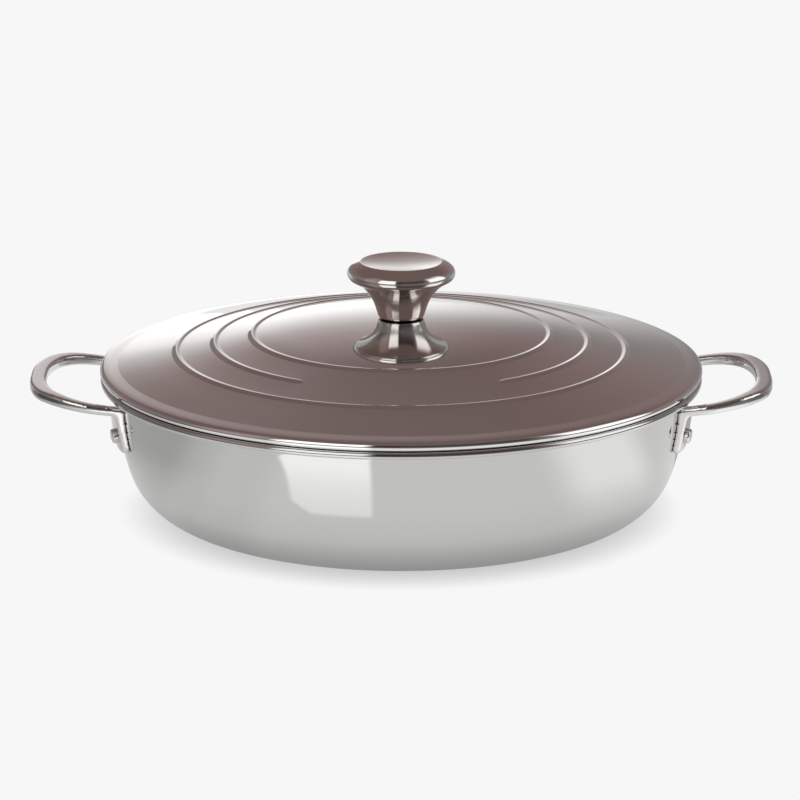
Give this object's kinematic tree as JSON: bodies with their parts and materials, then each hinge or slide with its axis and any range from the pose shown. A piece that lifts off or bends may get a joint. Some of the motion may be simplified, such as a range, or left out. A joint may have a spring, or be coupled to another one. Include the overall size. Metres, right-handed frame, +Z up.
{
  "type": "braiser",
  "caption": "Low, wide stainless pan with two riveted loop handles and a ringed, domed lid with a mushroom knob.",
  "frame": {"origin": "middle of the base's underside, on the surface that the pan stands on", "axes": "+Z up, +X towards the right handle, -Y towards the front, where the lid's middle ring is interrupted"},
  "size_m": [0.3916, 0.318, 0.1347],
  "materials": {
    "polished_pan": "mirror-polished stainless steel outside, satin inside",
    "polished_lid": "mirror-polished stainless steel",
    "polished_handle": "polished cast stainless steel",
    "polished_knob": "polished stainless steel with fine turning marks",
    "rivet_steel": "satin stainless steel",
    "plain_steel": "plain stainless steel fasteners"
  },
  "bodies": {
    "pan": {"pan_shell": "polished_pan", "left_handle": "polished_handle", "right_handle": "polished_handle", "left_handle_rivets": "rivet_steel", "right_handle_rivets": "rivet_steel"},
    "lid": {"lid_shell": "polished_lid", "knob": "polished_knob", "knob_washer": "plain_steel", "knob_screw": "plain_steel"}
  },
  "joints": [
    {"name": "lid_lift", "type": "slide", "parent": "pan", "child": "lid", "axis": [0, 0, 1], "range_m": [0, 0.12]}
  ]
}
